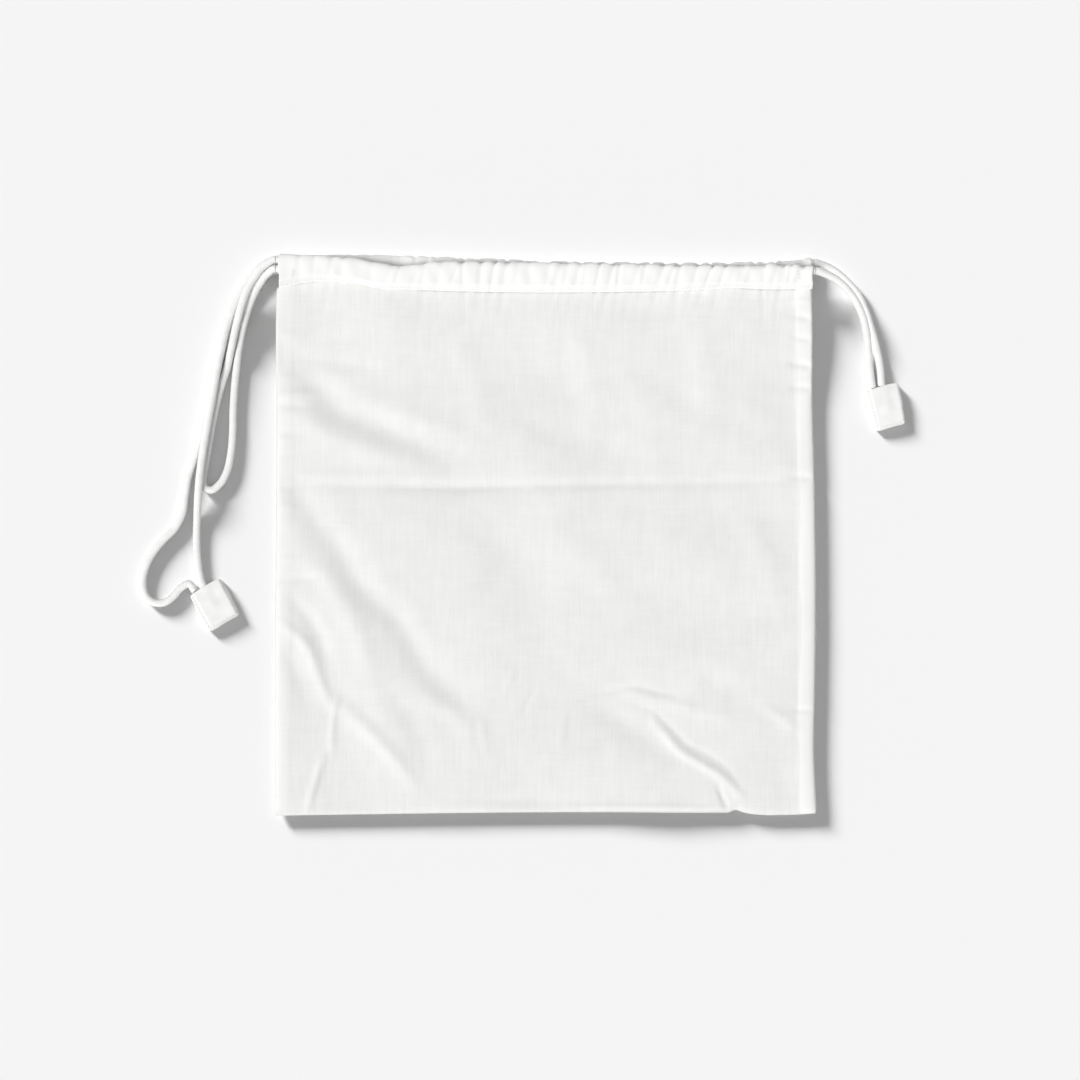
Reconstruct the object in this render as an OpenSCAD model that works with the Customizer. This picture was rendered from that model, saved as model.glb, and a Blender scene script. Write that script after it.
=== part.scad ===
// Flat double-drawstring shoe bag of white cotton, lying on its back panel.
// X runs across the bag, Y from the folded bottom towards the mouth, Z up from the surface it lies on.
// The origin is the middle of the cloth bag's outline, on that surface.

/* [Bag] */
// Width of the sewn bag
bag_w = 350; // [330:5:370]
// Height of the bag, from bottom fold to mouth
bag_h = 362; // [340:2:380]
// Thickness of the cloth
cloth_t = 0.5; // [0.4:0.1:0.8]
// Space between front and back panel at the bottom fold
room_low = 5.6; // [5.2:0.1:7]
// Width of the seam allowance turned inwards at each side
allowance_w = 10; // [8:1:14]

/* [Channels] */
// Height of each cord channel, from hem stitching to hem edge
channel_h = 23; // [22:1:26]
// Thickness of each channel with its cords inside
channel_t = 6.4; // [6.2:0.1:7]
// Mouth gap between the two channels
mouth_gap = 4.5; // [4.3:0.1:6]
// Width of the channels, short of the side seams
channel_w = 342; // [330:2:346]
// Length of each channel end that is slit open on its inner side
slit_l = 21; // [18:1:24]

/* [Cords] */
// Diameter of the cotton cord
cord_d = 5; // [4.6:0.1:5]
// Number of sides of a cord tube
cord_sides = 10; // [8:1:12]

/* [Tabs] */
// Width of the cloth tab on each pair of cord ends
tab_w = 23.5; // [22:0.5:26]
// Length of the tab
tab_l = 27; // [25:0.5:30]
// Thickness of the tab over the sewn-in cord ends
tab_t = 6.4; // [6.2:0.1:7]
// Length of cord sewn inside the tab
tab_grip_l = 18; // [12:1:22]

/* [Stitching] */
// Spacing of the stitches along a seam
stitch_pitch = 8; // [6:1:12]
// Length of one stitch
stitch_l = 5; // [3:0.5:5.5]
// Diameter of the sewing thread
thread_d = 0.4; // [0.3:0.1:0.5]

/* [Hidden] */

cloth_white = [0.95, 0.95, 0.94];
cord_white = [0.98, 0.98, 0.97];
thread_white = [0.88, 0.88, 0.87];

mouth_y = bag_h / 2;
bottom_y = -bag_h / 2;
hem_y = mouth_y - channel_h;
front_z = channel_t + mouth_gap;
top_z = front_z + channel_t;
side_x = bag_w / 2;
panel_x = side_x - 2;
seam_gap = 0.1;
channel_x = channel_w / 2;
slit_x = channel_x - slit_l;

// The two cord rows in each channel, and their heights in the back and front channel
row_low = 169.5;
row_high = 176;
low_z = 3.2;
high_z = 14.1;
tail_x = 173.3;

// Left cord inside the channels: in at the left of the back channel, round at the right, out at the left front
left_run_route = [
  [-173, 171, 3.2], [-166, 169, 3.2], [-150, 169.5, 3.2], [150, 169.5, 3.2],
  [153, 170.3, 4.4], [155, 171.5, 6.5], [155.6, 172.8, 8.7], [155, 174, 10.9], [153, 175.2, 13],
  [150, 176, 14.1], [-150, 176, 14.1], [-156, 177.5, 12.8], [-161, 178, 9],
  [-166, 178, 5.2], [-173, 177.5, 3.4]
];

// Right cord's two legs where they cross in the slit left ends of the channels
right_mouth_front_route = [[-150, 169.5, 14.1], [-158, 167.5, 14.1], [-166, 168.5, 14], [-173, 171, 13.6]];
right_mouth_back_route = [
  [-150, 176, 3.2], [-156, 174.5, 5.2], [-161, 172.3, 8.7], [-166, 174.5, 12.2], [-173, 177, 13.8]
];

// Right cord's slack loop, from its upper leg at the left exit, down, round and back up its lower leg
loop_route = [
  [-173.3, 177, 13.8], [-178, 175, 13.6], [-183, 171, 13.2], [-187.5, 165, 12.6], [-191, 159.5, 12],
  [-194.5, 151, 11.6], [-197, 143, 10.8], [-199.3, 135, 8.6], [-201.2, 127, 7.6], [-203.6, 117, 5.4],
  [-206.2, 107, 2.6], [-209.4, 97, 2.6], [-212.8, 84, 2.6], [-215.6, 71, 2.6], [-217.8, 58, 2.6],
  [-219.8, 47, 2.6], [-221, 40, 2.6], [-221.6, 34.5, 2.6], [-220.2, 30.5, 2.6], [-216, 29.2, 2.6],
  [-211, 32.6, 2.6], [-206.5, 40, 2.6], [-203.6, 52, 2.6], [-202.3, 66, 2.6], [-202, 80, 2.6],
  [-201, 96, 2.6], [-199.5, 110, 2.6], [-197.8, 123, 2.6], [-195.5, 134, 4], [-192.5, 144, 5.6],
  [-188.8, 153.5, 7.4], [-184, 161.8, 9.4], [-178.5, 168.2, 11.8], [-173.3, 171, 13.6]
];

// Left cord's first strand: from the front channel, over the second strand and the loop, to the tab
upper_strand_route = [
  [-173.3, 177.5, 3.4], [-179, 176.6, 3], [-185, 172.5, 2.8], [-190, 166.8, 2.8], [-194, 161, 3.2],
  [-198.2, 153, 5.6], [-201.7, 144.5, 7.6], [-205, 136, 7.9], [-208, 124, 8], [-210.6, 112, 8],
  [-213, 99, 8], [-215.4, 85, 8], [-217.8, 72, 8], [-220, 59, 8], [-222, 46, 8], [-223.4, 34, 7.8],
  [-224.4, 23, 6], [-225.2, 11, 3.4], [-225.6, -2, 2.6], [-225, -15, 2.6], [-223.4, -26, 2.8],
  [-221.3, -33.4, 3.2]
];

// Left cord's second strand: from the back channel, under the others, out in a wide bow and back to the tab
lower_strand_route = [
  [-173.3, 171, 3.2], [-179, 169, 2.8], [-185, 164.5, 2.6], [-189.5, 158.5, 2.6], [-193.5, 151, 2.6],
  [-198.4, 142, 2.6], [-203.4, 132, 2.6], [-208, 121, 2.6], [-211.8, 109, 2.6], [-215.2, 96, 2.6],
  [-218.6, 84, 2.6], [-221.6, 72, 2.6], [-224, 59.5, 2.6], [-226.8, 50, 2.6], [-230.8, 38, 2.6],
  [-232.8, 26, 2.6], [-235, 13, 2.6], [-240, 4, 2.6], [-247, -3, 2.6], [-253.5, -11, 2.6],
  [-258.6, -21, 2.6], [-260.4, -31, 2.6], [-258.5, -39, 2.6], [-253, -43.6, 2.6], [-246.5, -43.6, 2.6],
  [-240.5, -39.5, 2.6], [-235.5, -34, 2.6], [-230.6, -31.4, 2.8], [-226.7, -36.2, 3.2]
];

// Right cord's two strands from the right exit to their tab
outer_strand_route = [
  [173.3, 176, 3.2], [179, 174.6, 2.8], [187, 170.5, 2.6], [195, 163.5, 2.6], [201.5, 156, 2.6],
  [206, 146.5, 2.6], [210, 134.5, 2.6], [213.4, 122, 2.6], [215.9, 109, 2.8], [217, 96.3, 3.2]
];
inner_strand_route = [
  [173.3, 169.5, 14.1], [179, 168, 13], [187, 164.3, 10.6], [194, 158.6, 8.4], [199.8, 151, 7],
  [204, 142, 7], [206.8, 131, 6.8], [208.3, 118, 4.4], [209.6, 106, 2.8], [211.1, 95, 3.2]
];

// Where each tab lies: its centre and its turn
left_tab_at = [-213.9, -45.3];
left_tab_turn = 28;
right_tab_at = [220, 82.6];
right_tab_turn = 12.5;

// Spacing of the two cord ends in a tab, and where the first one lies across each tab
end_pitch = 6;
left_first_x = -7;
right_first_x = -6;

function unit(v) = v / norm(v);
// Direction of a route at its point i
function heading(route, i) =
  unit(route[min(i + 1, len(route) - 1)] - route[max(i - 1, 0)]);
// Sideways direction of a ring, level with the ground
function level_side(direction) = unit(cross(direction, [0, 0, 1]));
// Direction that ring i faces: a squared end faces along X, flat against the plane where it is cut
function ring_facing(route, i, square_start, square_end) =
  (i == 0 && square_start) || (i == len(route) - 1 && square_end)
    ? [heading(route, i)[0] > 0 ? 1 : -1, 0, 0] : heading(route, i);
function ring(route, i, radius, sides, square_start, square_end) =
  let (direction = ring_facing(route, i, square_start, square_end))
  let (u = level_side(direction), v = cross(u, direction))
  [for (k = [0 : sides - 1]) route[i] + radius * (cos(360 * k / sides) * u + sin(360 * k / sides) * v)];

// Closed tube through the points of a route
module cord_tube(route, square_start = true, square_end = true) {
  sides = cord_sides;
  count = len(route);
  points = [for (i = [0 : count - 1]) each ring(route, i, cord_d / 2, sides, square_start, square_end)];
  walls = [
    for (i = [0 : count - 2])
      for (k = [0 : sides - 1])
        let (a = i * sides + k, b = i * sides + (k + 1) % sides)
        each [[a, b, b + sides], [a, b + sides, a + sides]]
  ];
  start_face = [for (k = [sides - 1 : -1 : 0]) k];
  end_face = [for (k = [0 : sides - 1]) (count - 1) * sides + k];
  polyhedron(points = points, faces = concat(walls, [start_face, end_face]));
}

// Plate of uniform thickness across the bag, between two (y, z) points of its lower face
module sloped_plate(half_x, start, finish, thickness) {
  translate([-half_x, 0, 0])
    rotate([90, 0, 90])
      linear_extrude(height = 2 * half_x)
        polygon([start, finish, finish + [0, thickness], start + [0, thickness]]);
}

// Filled slot shape with round corners, from its low corner
module round_slot(width, height, radius) {
  translate([radius, 0]) square([width - 2 * radius, height]);
  translate([0, radius]) square([width, height - 2 * radius]);
  for (x = [radius, width - radius])
    for (y = [radius, height - radius])
      translate([x, y]) circle(r = radius, $fn = 48);
}

// Cord channel: a closed sleeve, its walls facing the mouth slit away at both ends
module channel(base_z, slit_z) {
  difference() {
    translate([-channel_x, hem_y, base_z])
      rotate([90, 0, 90])
        linear_extrude(height = channel_w)
          difference() {
            round_slot(channel_h, channel_t, 2);
            translate([cloth_t, cloth_t])
              round_slot(channel_h - 2 * cloth_t, channel_t - 2 * cloth_t, 1.5);
          }
    for (side = [-1, 1])
      translate([side > 0 ? slit_x : -channel_x - 1, hem_y - 1, slit_z])
        cube([slit_l + 1, channel_h + 2, channel_t / 2]);
  }
}

// Row of stitches along X
module stitch_row_x(half_length, y, z) {
  count = floor(2 * half_length / stitch_pitch);
  for (i = [0 : count - 1])
    translate([(i - (count - 1) / 2) * stitch_pitch - stitch_l / 2, y, z])
      rotate([0, 90, 0]) cylinder(h = stitch_l, d = thread_d, $fn = 16);
}

// Row of stitches along Y
module stitch_row_y(x, start_y, length, z) {
  count = floor(length / stitch_pitch);
  for (i = [0 : count - 1])
    translate([x, start_y + (i + 0.75) * stitch_pitch, z])
      rotate([90, 0, 0]) cylinder(h = stitch_l, d = thread_d, $fn = 16);
}

module back_panel() {
  color(cloth_white)
    translate([-panel_x, bottom_y + 1, 0])
      cube([2 * panel_x, bag_h - channel_h - 1 - seam_gap, cloth_t]);
}

module front_panel() {
  color(cloth_white)
    sloped_plate(panel_x, [bottom_y + 1, cloth_t + room_low],
      [hem_y - seam_gap, front_z + 0.4], cloth_t);
}

// The strip of cloth that turns up at the bottom of the bag
module bottom_fold() {
  color(cloth_white)
    translate([-panel_x, bottom_y, 0])
      cube([2 * panel_x, 1 - seam_gap, 2 * cloth_t + room_low]);
}

// Side seam: the edge wall that joins the panels, with its allowance turned inwards over the back panel
module side_seam(side) {
  wall_t = side_x - panel_x - seam_gap;
  color(cloth_white) {
    translate([side > 0 ? panel_x + seam_gap : -side_x, 0, 0])
      rotate([90, 0, 90])
        linear_extrude(height = wall_t)
          polygon([
            [bottom_y, 0], [hem_y - seam_gap, 0],
            [hem_y - seam_gap, front_z + 0.4 + cloth_t], [bottom_y, 2 * cloth_t + room_low]
          ]);
    translate([side > 0 ? panel_x - allowance_w : -panel_x - seam_gap, bottom_y + 1, cloth_t + seam_gap])
      cube([allowance_w + seam_gap, bag_h - channel_h - 2, cloth_t]);
  }
}

// Lockstitches through the turned-in allowance
module seam_stitching(side) {
  color(thread_white)
    stitch_row_y(side * (panel_x - 1.5), bottom_y + 4, bag_h - channel_h - 8,
      2 * cloth_t + seam_gap + thread_d / 2);
}

module front_channel() {
  color(cloth_white) channel(front_z, front_z - channel_t / 2 + cloth_t + 2);
}

module back_channel() {
  color(cloth_white) channel(0, channel_t - cloth_t - 2);
}

module front_hem_stitching() {
  color(thread_white) stitch_row_x(panel_x - 4, hem_y - 1.2, front_z + 0.4 + cloth_t + thread_d / 2);
}

module back_hem_stitching() {
  color(thread_white) stitch_row_x(panel_x - allowance_w - 1, hem_y - 1.2, cloth_t + thread_d / 2);
}

// Short cross stitches that hold the hem's ends, front and back
module bar_tacks(side) {
  color(thread_white)
    for (base_z = [2 * cloth_t + seam_gap, front_z + 0.4 + cloth_t])
      for (i = [0 : 3])
        translate([side * (panel_x - 6) - 2, hem_y - 2.4 - i * 0.9, base_z + thread_d / 2])
          rotate([0, 90, 0]) cylinder(h = 4, d = thread_d, $fn = 16);
}

module left_cord_run() {
  color(cord_white) cord_tube(left_run_route);
}

// Right cord's two straight runs, one in each channel
module right_cord_run() {
  color(cord_white)
    for (at = [[row_low, high_z], [row_high, low_z]])
      translate([-slit_x + 0.3, at[0], at[1]])
        rotate([0, 90, 0]) cylinder(h = tail_x - 0.3 + slit_x - 0.3, d = cord_d, $fn = 48);
}

module right_cord_mouth() {
  color(cord_white) {
    cord_tube(right_mouth_front_route);
    cord_tube(right_mouth_back_route);
  }
}

module right_cord_loop() {
  color(cord_white) cord_tube(loop_route);
}

module left_cord_strand_upper() {
  color(cord_white) cord_tube(upper_strand_route, square_end = false);
}

module left_cord_strand_lower() {
  color(cord_white) cord_tube(lower_strand_route, square_end = false);
}

module right_cord_strand_outer() {
  color(cord_white) cord_tube(outer_strand_route, square_end = false);
}

module right_cord_strand_inner() {
  color(cord_white) cord_tube(inner_strand_route, square_end = false);
}

// Places a tab's parts: the tab's long side runs from its mouth at the top down to its closed end
module at_tab(at, turn) {
  translate([at[0], at[1], 0]) rotate([0, 0, turn]) children();
}

// Tab of folded cloth, closed round two cord ends, open at its top
module tab_shell(first_x) {
  pocket_w = end_pitch + cord_d + 0.4;
  difference() {
    translate([-tab_w / 2, -tab_l / 2, 0]) cube([tab_w, tab_l, tab_t]);
    translate([first_x - cord_d / 2 - 0.2, tab_l / 2 - tab_grip_l - 0.2, tab_t / 2 - cord_d / 2 - 0.2])
      cube([pocket_w, tab_grip_l + 1, cord_d + 0.4]);
  }
}

// The two cord ends sewn into a tab
module tab_ends(first_x) {
  for (i = [0, 1])
    translate([first_x + i * end_pitch, tab_l / 2 - 0.3, tab_t / 2])
      rotate([90, 0, 0]) cylinder(h = tab_grip_l - 0.3, d = cord_d, $fn = 48);
}

// Rectangle of stitches on the tab's upper face
module tab_stitches() {
  inset = 2;
  for (side = [-1, 1])
    for (y = [-tab_l / 2 + inset + 1 : 3.4 : tab_l / 2 - inset - 2])
      translate([side * (tab_w / 2 - inset), y + 2.2, tab_t + thread_d / 2])
        rotate([90, 0, 0]) cylinder(h = 2.2, d = thread_d, $fn = 16);
  for (x = [-tab_w / 2 + inset + 1 : 3.4 : tab_w / 2 - inset - 2])
    translate([x, -tab_l / 2 + inset, tab_t + thread_d / 2])
      rotate([0, 90, 0]) cylinder(h = 2.2, d = thread_d, $fn = 16);
}

module left_tab() {
  color(cloth_white) at_tab(left_tab_at, left_tab_turn) tab_shell(left_first_x);
}

module left_tab_cord_ends() {
  color(cord_white) at_tab(left_tab_at, left_tab_turn) tab_ends(left_first_x);
}

module left_tab_stitching() {
  color(thread_white) at_tab(left_tab_at, left_tab_turn) tab_stitches();
}

module right_tab() {
  color(cloth_white) at_tab(right_tab_at, right_tab_turn) tab_shell(right_first_x);
}

module right_tab_cord_ends() {
  color(cord_white) at_tab(right_tab_at, right_tab_turn) tab_ends(right_first_x);
}

module right_tab_stitching() {
  color(thread_white) at_tab(right_tab_at, right_tab_turn) tab_stitches();
}

back_panel();
front_panel();
bottom_fold();
side_seam(-1);  // left_side_seam
side_seam(1);  // right_side_seam
seam_stitching(-1);  // left_seam_stitching
seam_stitching(1);  // right_seam_stitching
front_channel();
back_channel();
front_hem_stitching();
back_hem_stitching();
bar_tacks(-1);  // left_bar_tacks
bar_tacks(1);  // right_bar_tacks
left_cord_run();
right_cord_run();
right_cord_mouth();
right_cord_loop();
left_cord_strand_upper();
left_cord_strand_lower();
left_tab();
left_tab_cord_ends();
left_tab_stitching();
right_cord_strand_outer();
right_cord_strand_inner();
right_tab();
right_tab_cord_ends();
right_tab_stitching();
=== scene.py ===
# Looks of a flat white cotton shoe bag with two drawstrings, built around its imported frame.
# Lengths in the tables below are in millimetres, in the frame's axes; MM turns them into metres.
import math

import bpy
import numpy as np
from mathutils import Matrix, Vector


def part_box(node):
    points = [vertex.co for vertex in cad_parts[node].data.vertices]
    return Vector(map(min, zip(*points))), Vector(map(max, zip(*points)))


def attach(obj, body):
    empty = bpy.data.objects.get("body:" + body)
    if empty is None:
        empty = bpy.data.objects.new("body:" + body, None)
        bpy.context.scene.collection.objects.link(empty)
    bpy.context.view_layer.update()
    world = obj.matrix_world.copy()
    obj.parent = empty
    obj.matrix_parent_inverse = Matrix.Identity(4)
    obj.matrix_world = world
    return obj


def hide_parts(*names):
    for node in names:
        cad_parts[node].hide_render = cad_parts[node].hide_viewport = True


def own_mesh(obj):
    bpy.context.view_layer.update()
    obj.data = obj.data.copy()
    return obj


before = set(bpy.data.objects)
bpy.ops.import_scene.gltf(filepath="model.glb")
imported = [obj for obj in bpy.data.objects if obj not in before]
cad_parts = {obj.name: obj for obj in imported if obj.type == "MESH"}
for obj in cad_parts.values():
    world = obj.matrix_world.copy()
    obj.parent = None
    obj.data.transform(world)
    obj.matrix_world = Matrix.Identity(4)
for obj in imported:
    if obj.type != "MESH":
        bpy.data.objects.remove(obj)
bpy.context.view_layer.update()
MM = 0.001

# ---------------------------------------------------------------- sizes, from the frame
channel_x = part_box("front_channel")[1].x / MM
front_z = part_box("front_channel")[0].z / MM
cord_r = (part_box("left_tab_cord_ends")[1].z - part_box("left_tab_cord_ends")[0].z) / MM / 2

# ---------------------------------------------------------------- sizes, given
cloth_t = 0.5  # one layer of cloth
back_z = 0.15  # underside of the back channel
fold_z = 5.5  # edge of the bottom fold
wrinkle_gain = 1.15  # on every height in WRINKLES
gather_depth = 0.75  # of a gather of strength 1
deepest_gather = 0.9  # strength at which a channel's gathers level off
plump_share = 0.22  # share of a channel's width over which it swells


# ---------------------------------------------------------------- camera
def add_camera():
    """Looks straight down, just left of the bag's centre."""
    data = bpy.data.cameras.new("camera")
    data.lens = 85
    data.sensor_width = 36
    view_width = 696.6
    aim_x, aim_y, aim_z = -3.7, -3.2, 6
    rig = bpy.data.objects.new("camera", data)
    rig.location = (aim_x * MM, aim_y * MM, (aim_z + view_width * data.lens / data.sensor_width) * MM)
    bpy.context.scene.collection.objects.link(rig)
    bpy.context.scene.camera = rig


add_camera()


# ---------------------------------------------------------------- helpers
def mesh_piece(name, verts, faces, material):
    """A smooth-shaded mesh object from points in millimetres."""
    mesh = bpy.data.meshes.new(name)
    mesh.from_pydata((np.asarray(verts, float) * MM).tolist(), [], faces)
    mesh.update()
    mesh.polygons.foreach_set("use_smooth", [True] * len(mesh.polygons))
    mesh.materials.append(material)
    piece = bpy.data.objects.new(name, mesh)
    bpy.context.scene.collection.objects.link(piece)
    return piece


def grid_faces(rows, cols, wrap=False):
    """Quads of a grid of rows by cols points; wrap joins the last column to the first."""
    faces = []
    for i in range(rows - 1):
        for j in range(cols if wrap else cols - 1):
            a, b = i * cols + j, i * cols + (j + 1) % cols
            faces.append((a, b, b + cols, a + cols))
    return faces


def mark_layers(piece, values):
    """Says how far each point of the cloth lies over a second layer, which makes it look whiter."""
    layer = piece.data.attributes.new("layers", "FLOAT", "POINT")
    layer.data.foreach_set("value", np.ravel(values).astype(np.float32))


def thicken(piece, thickness):
    """Gives a sheet its thickness, half on each side, and keeps the result in the mesh."""
    solid = piece.modifiers.new("thickness", "SOLIDIFY")
    solid.thickness = thickness * MM
    solid.offset = 0
    solid.use_even_offset = False
    apply_modifiers(piece)


def apply_modifiers(piece):
    """Puts the modifiers' result in the piece's own mesh."""
    graph = bpy.context.evaluated_depsgraph_get()
    mesh = bpy.data.meshes.new_from_object(piece.evaluated_get(graph))
    piece.modifiers.clear()
    old = piece.data
    piece.data = mesh
    bpy.data.meshes.remove(old)
    mesh.polygons.foreach_set("use_smooth", [True] * len(mesh.polygons))


def smoothstep(low, high, value):
    """0 on low's side and 1 on high's side, smooth between; high may be the smaller."""
    t = np.clip((value - low) / (high - low), 0, 1)
    return t * t * (3 - 2 * t)


def cubic(t, h, start, end, start_slope, end_slope):
    """A smooth curve from start to end, t of the way along a stretch h long."""
    return (
        (1 + 2 * t) * (1 - t) ** 2 * start + t * (1 - t) ** 2 * h * start_slope
        + t * t * (3 - 2 * t) * end + t * t * (t - 1) * h * end_slope
    )


def smooth_path(points, step, square=()):
    """A smooth curve through points, with a point about every step.

    square lists the ends that leave along X.
    """
    p = np.array(points, float)
    s = np.concatenate([[0], np.cumsum(np.linalg.norm(np.diff(p, axis=0), axis=1))])
    slope = np.gradient(p, s, axis=0)
    for end in square:
        slope[end] = (np.sign(slope[end][0]), 0, 0)
    u = np.linspace(0, s[-1], max(3, int(s[-1] / step) + 1))
    i = np.clip(np.searchsorted(s, u, side="right") - 1, 0, len(p) - 2)
    h = s[i + 1] - s[i]
    t = ((u - s[i]) / h)[:, None]
    return cubic(t, h[:, None], p[i], p[i + 1], slope[i], slope[i + 1])


# ---------------------------------------------------------------- materials
def new_material(name):
    """A material, its node tree and its shader."""
    material = bpy.data.materials.new(name)
    material.use_nodes = True
    tree = material.node_tree
    return material, tree, tree.nodes["Principled BSDF"]


def add_node(tree, kind, **values):
    """A node with its settings, or its inputs' values, by name."""
    item = tree.nodes.new(kind)
    for key, value in values.items():
        if hasattr(item, key):
            setattr(item, key, value)
        else:
            item.inputs[key.replace("_", " ")].default_value = value
    return item


def math_node(tree, operation, first, second):
    """One sum, of sockets or plain numbers."""
    item = tree.nodes.new("ShaderNodeMath")
    item.operation = operation
    for socket, value in zip(item.inputs, (first, second)):
        if hasattr(value, "links"):
            tree.links.new(value, socket)
        else:
            socket.default_value = value
    return item.outputs[0]


def noise(tree, place, scale, detail=3.0, stretch=(1, 1, 1)):
    """Noise in the object's own metres, scale in features a metre."""
    mapping = add_node(tree, "ShaderNodeMapping")
    mapping.inputs["Scale"].default_value = stretch
    tree.links.new(place, mapping.inputs["Vector"])
    item = add_node(tree, "ShaderNodeTexNoise", Scale=scale, Detail=detail)
    tree.links.new(mapping.outputs["Vector"], item.inputs["Vector"])
    return item.outputs["Fac"]


def thread_wave(tree, place, axis, pitch):
    """Rows of threads across one axis, pitch in millimetres."""
    item = add_node(tree, "ShaderNodeTexWave", bands_direction=axis, wave_profile="SIN")
    item.inputs["Scale"].default_value = math.pi / (10 * pitch * MM)
    item.inputs["Distortion"].default_value = 0.6
    item.inputs["Detail"].default_value = 2
    item.inputs["Detail Scale"].default_value = 0.4
    tree.links.new(place, item.inputs["Vector"])
    return item.outputs["Fac"]


def tint(tree, shader, factor, dark, light, low=0.3, high=0.7):
    """Colours the shader from dark to light as the factor goes from low to high."""
    ramp = add_node(tree, "ShaderNodeValToRGB")
    ramp.color_ramp.elements[0].position = low
    ramp.color_ramp.elements[0].color = (*dark, 1)
    ramp.color_ramp.elements[1].position = high
    ramp.color_ramp.elements[1].color = (*light, 1)
    tree.links.new(factor, ramp.inputs["Fac"])
    tree.links.new(ramp.outputs["Color"], shader.inputs["Base Color"])
    return ramp


def bump(tree, shader, height, distance, strength):
    """Relief in the shading, distance in millimetres."""
    item = add_node(tree, "ShaderNodeBump", Strength=strength)
    item.inputs["Distance"].default_value = distance * MM
    tree.links.new(height, item.inputs["Height"])
    tree.links.new(item.outputs["Normal"], shader.inputs["Normal"])


def surface(shader, roughness, specular, sheen=0.0, sheen_roughness=0.5):
    """The shader's even settings."""
    shader.inputs["Roughness"].default_value = roughness
    shader.inputs["Specular IOR Level"].default_value = specular
    shader.inputs["Sheen Weight"].default_value = sheen
    shader.inputs["Sheen Roughness"].default_value = sheen_roughness


def cotton_cloth():
    """Plain-woven cotton: slubby vertical threads, a fine weave and soft mottling."""
    material, tree, shader = new_material("cotton_cloth")
    place = add_node(tree, "ShaderNodeTexCoord").outputs["Object"]
    slubs = noise(tree, place, 60, 3, stretch=(14, 0.8, 1))
    cross_slubs = noise(tree, place, 60, 2, stretch=(0.8, 12, 1))
    mottle = noise(tree, place, 90, 4)
    warp = thread_wave(tree, place, "X", 0.42)
    weft = thread_wave(tree, place, "Y", 0.46)
    weave = math_node(tree, "MULTIPLY", math_node(tree, "ADD", warp, weft), 0.5)
    slub = math_node(tree, "ADD", slubs, math_node(tree, "MULTIPLY", cross_slubs, 0.5))
    slub_share = math_node(tree, "MULTIPLY", slub, 0.45)
    shade = math_node(tree, "ADD", slub_share, math_node(tree, "MULTIPLY", mottle, 0.35))
    ramp = tint(tree, shader, shade, (0.79, 0.79, 0.775), (0.855, 0.855, 0.84), 0.35, 0.65)
    # Over a second layer nothing darker shows through.
    layers = add_node(tree, "ShaderNodeAttribute", attribute_name="layers").outputs["Fac"]
    mix = add_node(tree, "ShaderNodeMix", data_type="RGBA")
    tree.links.new(layers, mix.inputs["Factor"])
    tree.links.new(ramp.outputs["Color"], mix.inputs["A"])
    mix.inputs["B"].default_value = (0.94, 0.94, 0.93, 1)
    tree.links.new(mix.outputs["Result"], shader.inputs["Base Color"])
    height = math_node(tree, "ADD", math_node(tree, "MULTIPLY", weave, 0.5), slub)
    bump(tree, shader, height, 0.16, 0.4)
    surface(shader, 0.9, 0.2, sheen=0.15, sheen_roughness=0.6)
    return material


def cotton_cord():
    """Braided cotton: the braid is in the mesh, the fibres are here."""
    material, tree, shader = new_material("cotton_cord")
    place = add_node(tree, "ShaderNodeTexCoord").outputs["Object"]
    fibres = noise(tree, place, 1500, 3)
    mottle = noise(tree, place, 220, 3)
    tint(tree, shader, mottle, (0.86, 0.86, 0.85), (0.93, 0.93, 0.92))
    bump(tree, shader, fibres, 0.25, 0.5)
    surface(shader, 0.92, 0.2, sheen=0.2)
    return material


def sewing_thread():
    """Cotton thread, a little greyer than the cloth."""
    material, tree, shader = new_material("sewing_thread")
    place = add_node(tree, "ShaderNodeTexCoord").outputs["Object"]
    tint(tree, shader, noise(tree, place, 900, 2), (0.66, 0.66, 0.65), (0.8, 0.8, 0.79))
    bump(tree, shader, noise(tree, place, 4000, 2), 0.1, 0.6)
    surface(shader, 0.7, 0.3)
    return material


def tab_cloth():
    """The tabs' tighter, whiter tape-like cotton."""
    material, tree, shader = new_material("tab_cloth")
    place = add_node(tree, "ShaderNodeTexCoord").outputs["Object"]
    warp = thread_wave(tree, place, "X", 0.55)
    weft = thread_wave(tree, place, "Y", 0.5)
    weave = math_node(tree, "MULTIPLY", math_node(tree, "ADD", warp, weft), 0.5)
    tint(tree, shader, noise(tree, place, 150, 4), (0.88, 0.88, 0.87), (0.94, 0.94, 0.93))
    bump(tree, shader, weave, 0.2, 0.5)
    surface(shader, 0.9, 0.2, sheen=0.15)
    return material


CLOTH = cotton_cloth()
CORD = cotton_cord()
THREAD = sewing_thread()
TAB = tab_cloth()

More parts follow.
